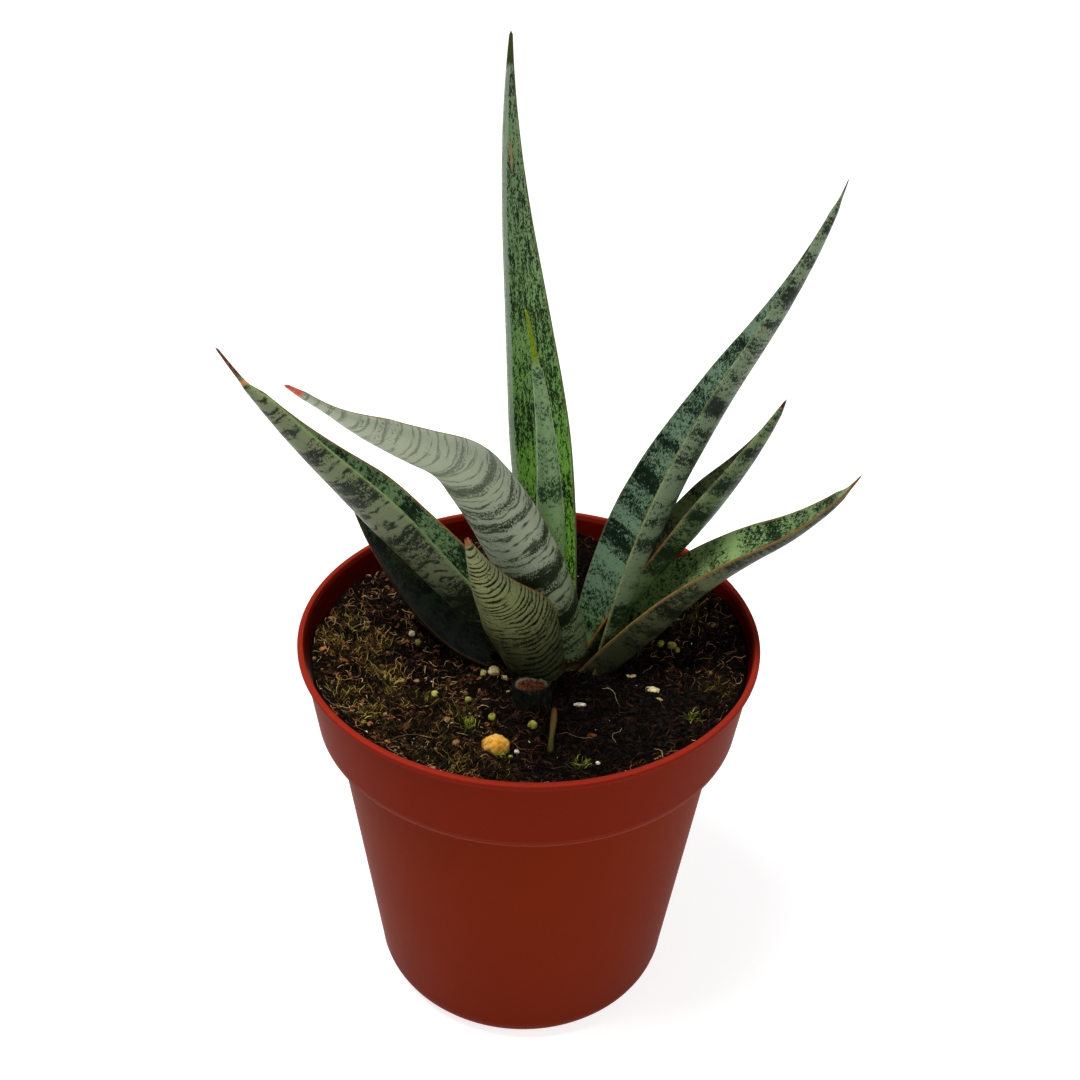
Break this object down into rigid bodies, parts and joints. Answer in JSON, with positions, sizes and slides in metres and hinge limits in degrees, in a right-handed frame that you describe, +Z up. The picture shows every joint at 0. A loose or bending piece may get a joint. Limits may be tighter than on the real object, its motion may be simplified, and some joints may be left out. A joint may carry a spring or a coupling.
{
  "type": "potted snake plant",
  "caption": "Young snake plant with channelled, pointed, dark-banded leaves in a round brick-red plastic nursery pot filled with potting mix.",
  "frame": {"origin": "middle of the pot's flat underside", "axes": "+Z up along the pot's axis, +Y to the back, +X to the right of the side with the short front leaf"},
  "size_m": [0.1311, 0.1348, 0.222],
  "materials": {
    "pot_plastic": "brick-red injection-moulded plastic, satin, thin translucent lip",
    "potting_mix": "dark moist peat and bark mix with fibres and moss",
    "root": "pale orange-brown rhizome skin",
    "leaf": "waxy grey-green skin with dark green cross bands and an orange-brown edge line",
    "young_leaf": "waxy pale green skin, yellow-green rolled tip",
    "cut_leaf": "dull grey-green skin with a dried orange-brown cut face",
    "dry_stalk": "dry olive and rusty brown stalk",
    "pebble": "tan pebble",
    "perlite": "pale crumbly perlite",
    "plant_feed": "olive-yellow coated feed pellet"
  },
  "bodies": {
    "root": {"nursery_pot": "pot_plastic", "potting_mix": "potting_mix", "rhizome_and_roots": "root", "leaf_young_centre": "young_leaf", "leaf_tall_back": "leaf", "leaf_arching_left": "leaf", "leaf_tall_right": "leaf", "leaf_wide_left": "leaf", "leaf_mid_right": "leaf", "leaf_short_front": "leaf", "leaf_low_right": "leaf", "leaf_low_left": "leaf", "old_leaf_stub": "cut_leaf", "dry_stalk": "dry_stalk", "tan_pebble": "pebble", "pale_stone": "perlite", "perlite_1": "perlite", "perlite_2": "perlite", "perlite_3": "perlite", "perlite_4": "perlite", "perlite_5": "perlite", "perlite_6": "perlite", "feed_pellet_1": "plant_feed", "feed_pellet_2": "plant_feed", "feed_pellet_3": "plant_feed", "feed_pellet_4": "plant_feed", "feed_pellet_5": "plant_feed", "feed_pellet_6": "plant_feed"}
  },
  "joints": []
}
